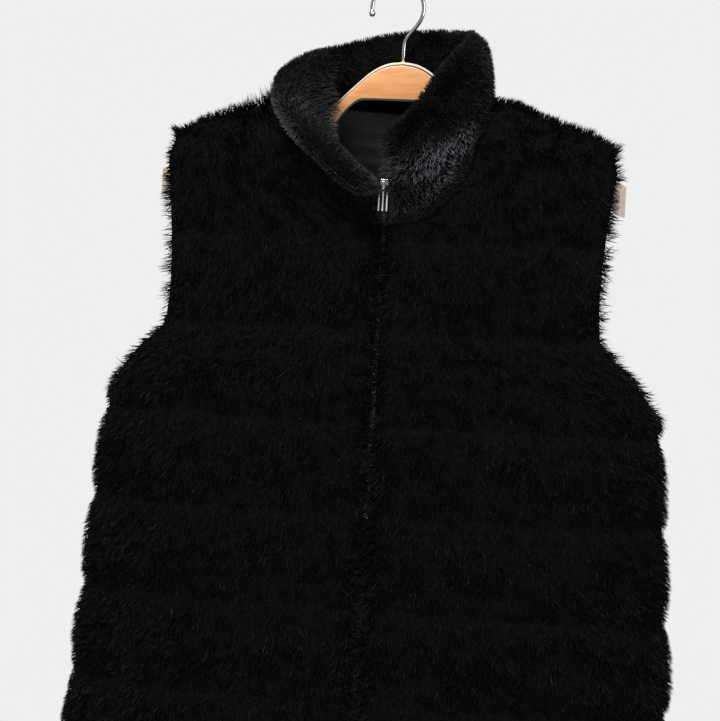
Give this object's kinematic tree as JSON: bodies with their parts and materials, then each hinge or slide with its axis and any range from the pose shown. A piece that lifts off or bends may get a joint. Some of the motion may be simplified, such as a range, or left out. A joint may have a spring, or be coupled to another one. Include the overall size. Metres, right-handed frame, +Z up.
{
  "type": "faux fur vest on a wooden hanger",
  "caption": "Sleeveless black faux fur vest with horizontal fur bands, stand collar half open and a zip front, hanging on a curved wooden hanger.",
  "frame": {"origin": "the inner crest of the hanger's hook, where a rail or wall hook touches it", "axes": "+Z up, the vest's front faces -Y, +X to the viewer's right"},
  "size_m": [0.5828, 0.1649, 0.7624],
  "materials": {
    "fur": "deep black faux fur pile with a cool grey sheen on its tips",
    "lining": "black satin with a soft sheen",
    "zip_tape": "black woven tape with black chain",
    "zip_metal": "bright nickel plate",
    "ply_pale": "clear satin lacquer over pale ply edge",
    "ply_orange": "clear satin lacquer over orange-tan ply face",
    "hook_steel": "polished steel wire"
  },
  "bodies": {
    "vest": {"front_left": "fur", "front_right": "fur", "back": "fur", "collar": "fur", "back_lining": "lining", "zip_tape_left": "zip_tape", "zip_tape_right": "zip_tape", "zip_slider": "zip_metal", "hanger_back_ply": "ply_pale", "hanger_front_ply": "ply_orange", "hanger_hook": "hook_steel"},
    "zip_pull": {"zip_pull": "zip_metal"}
  },
  "joints": [
    {"name": "pull_swing", "type": "hinge", "parent": "vest", "child": "zip_pull", "pos_m": [0, -0.08958, -0.203], "axis": [-1, 0, 0], "range_deg": [0, 160]}
  ]
}
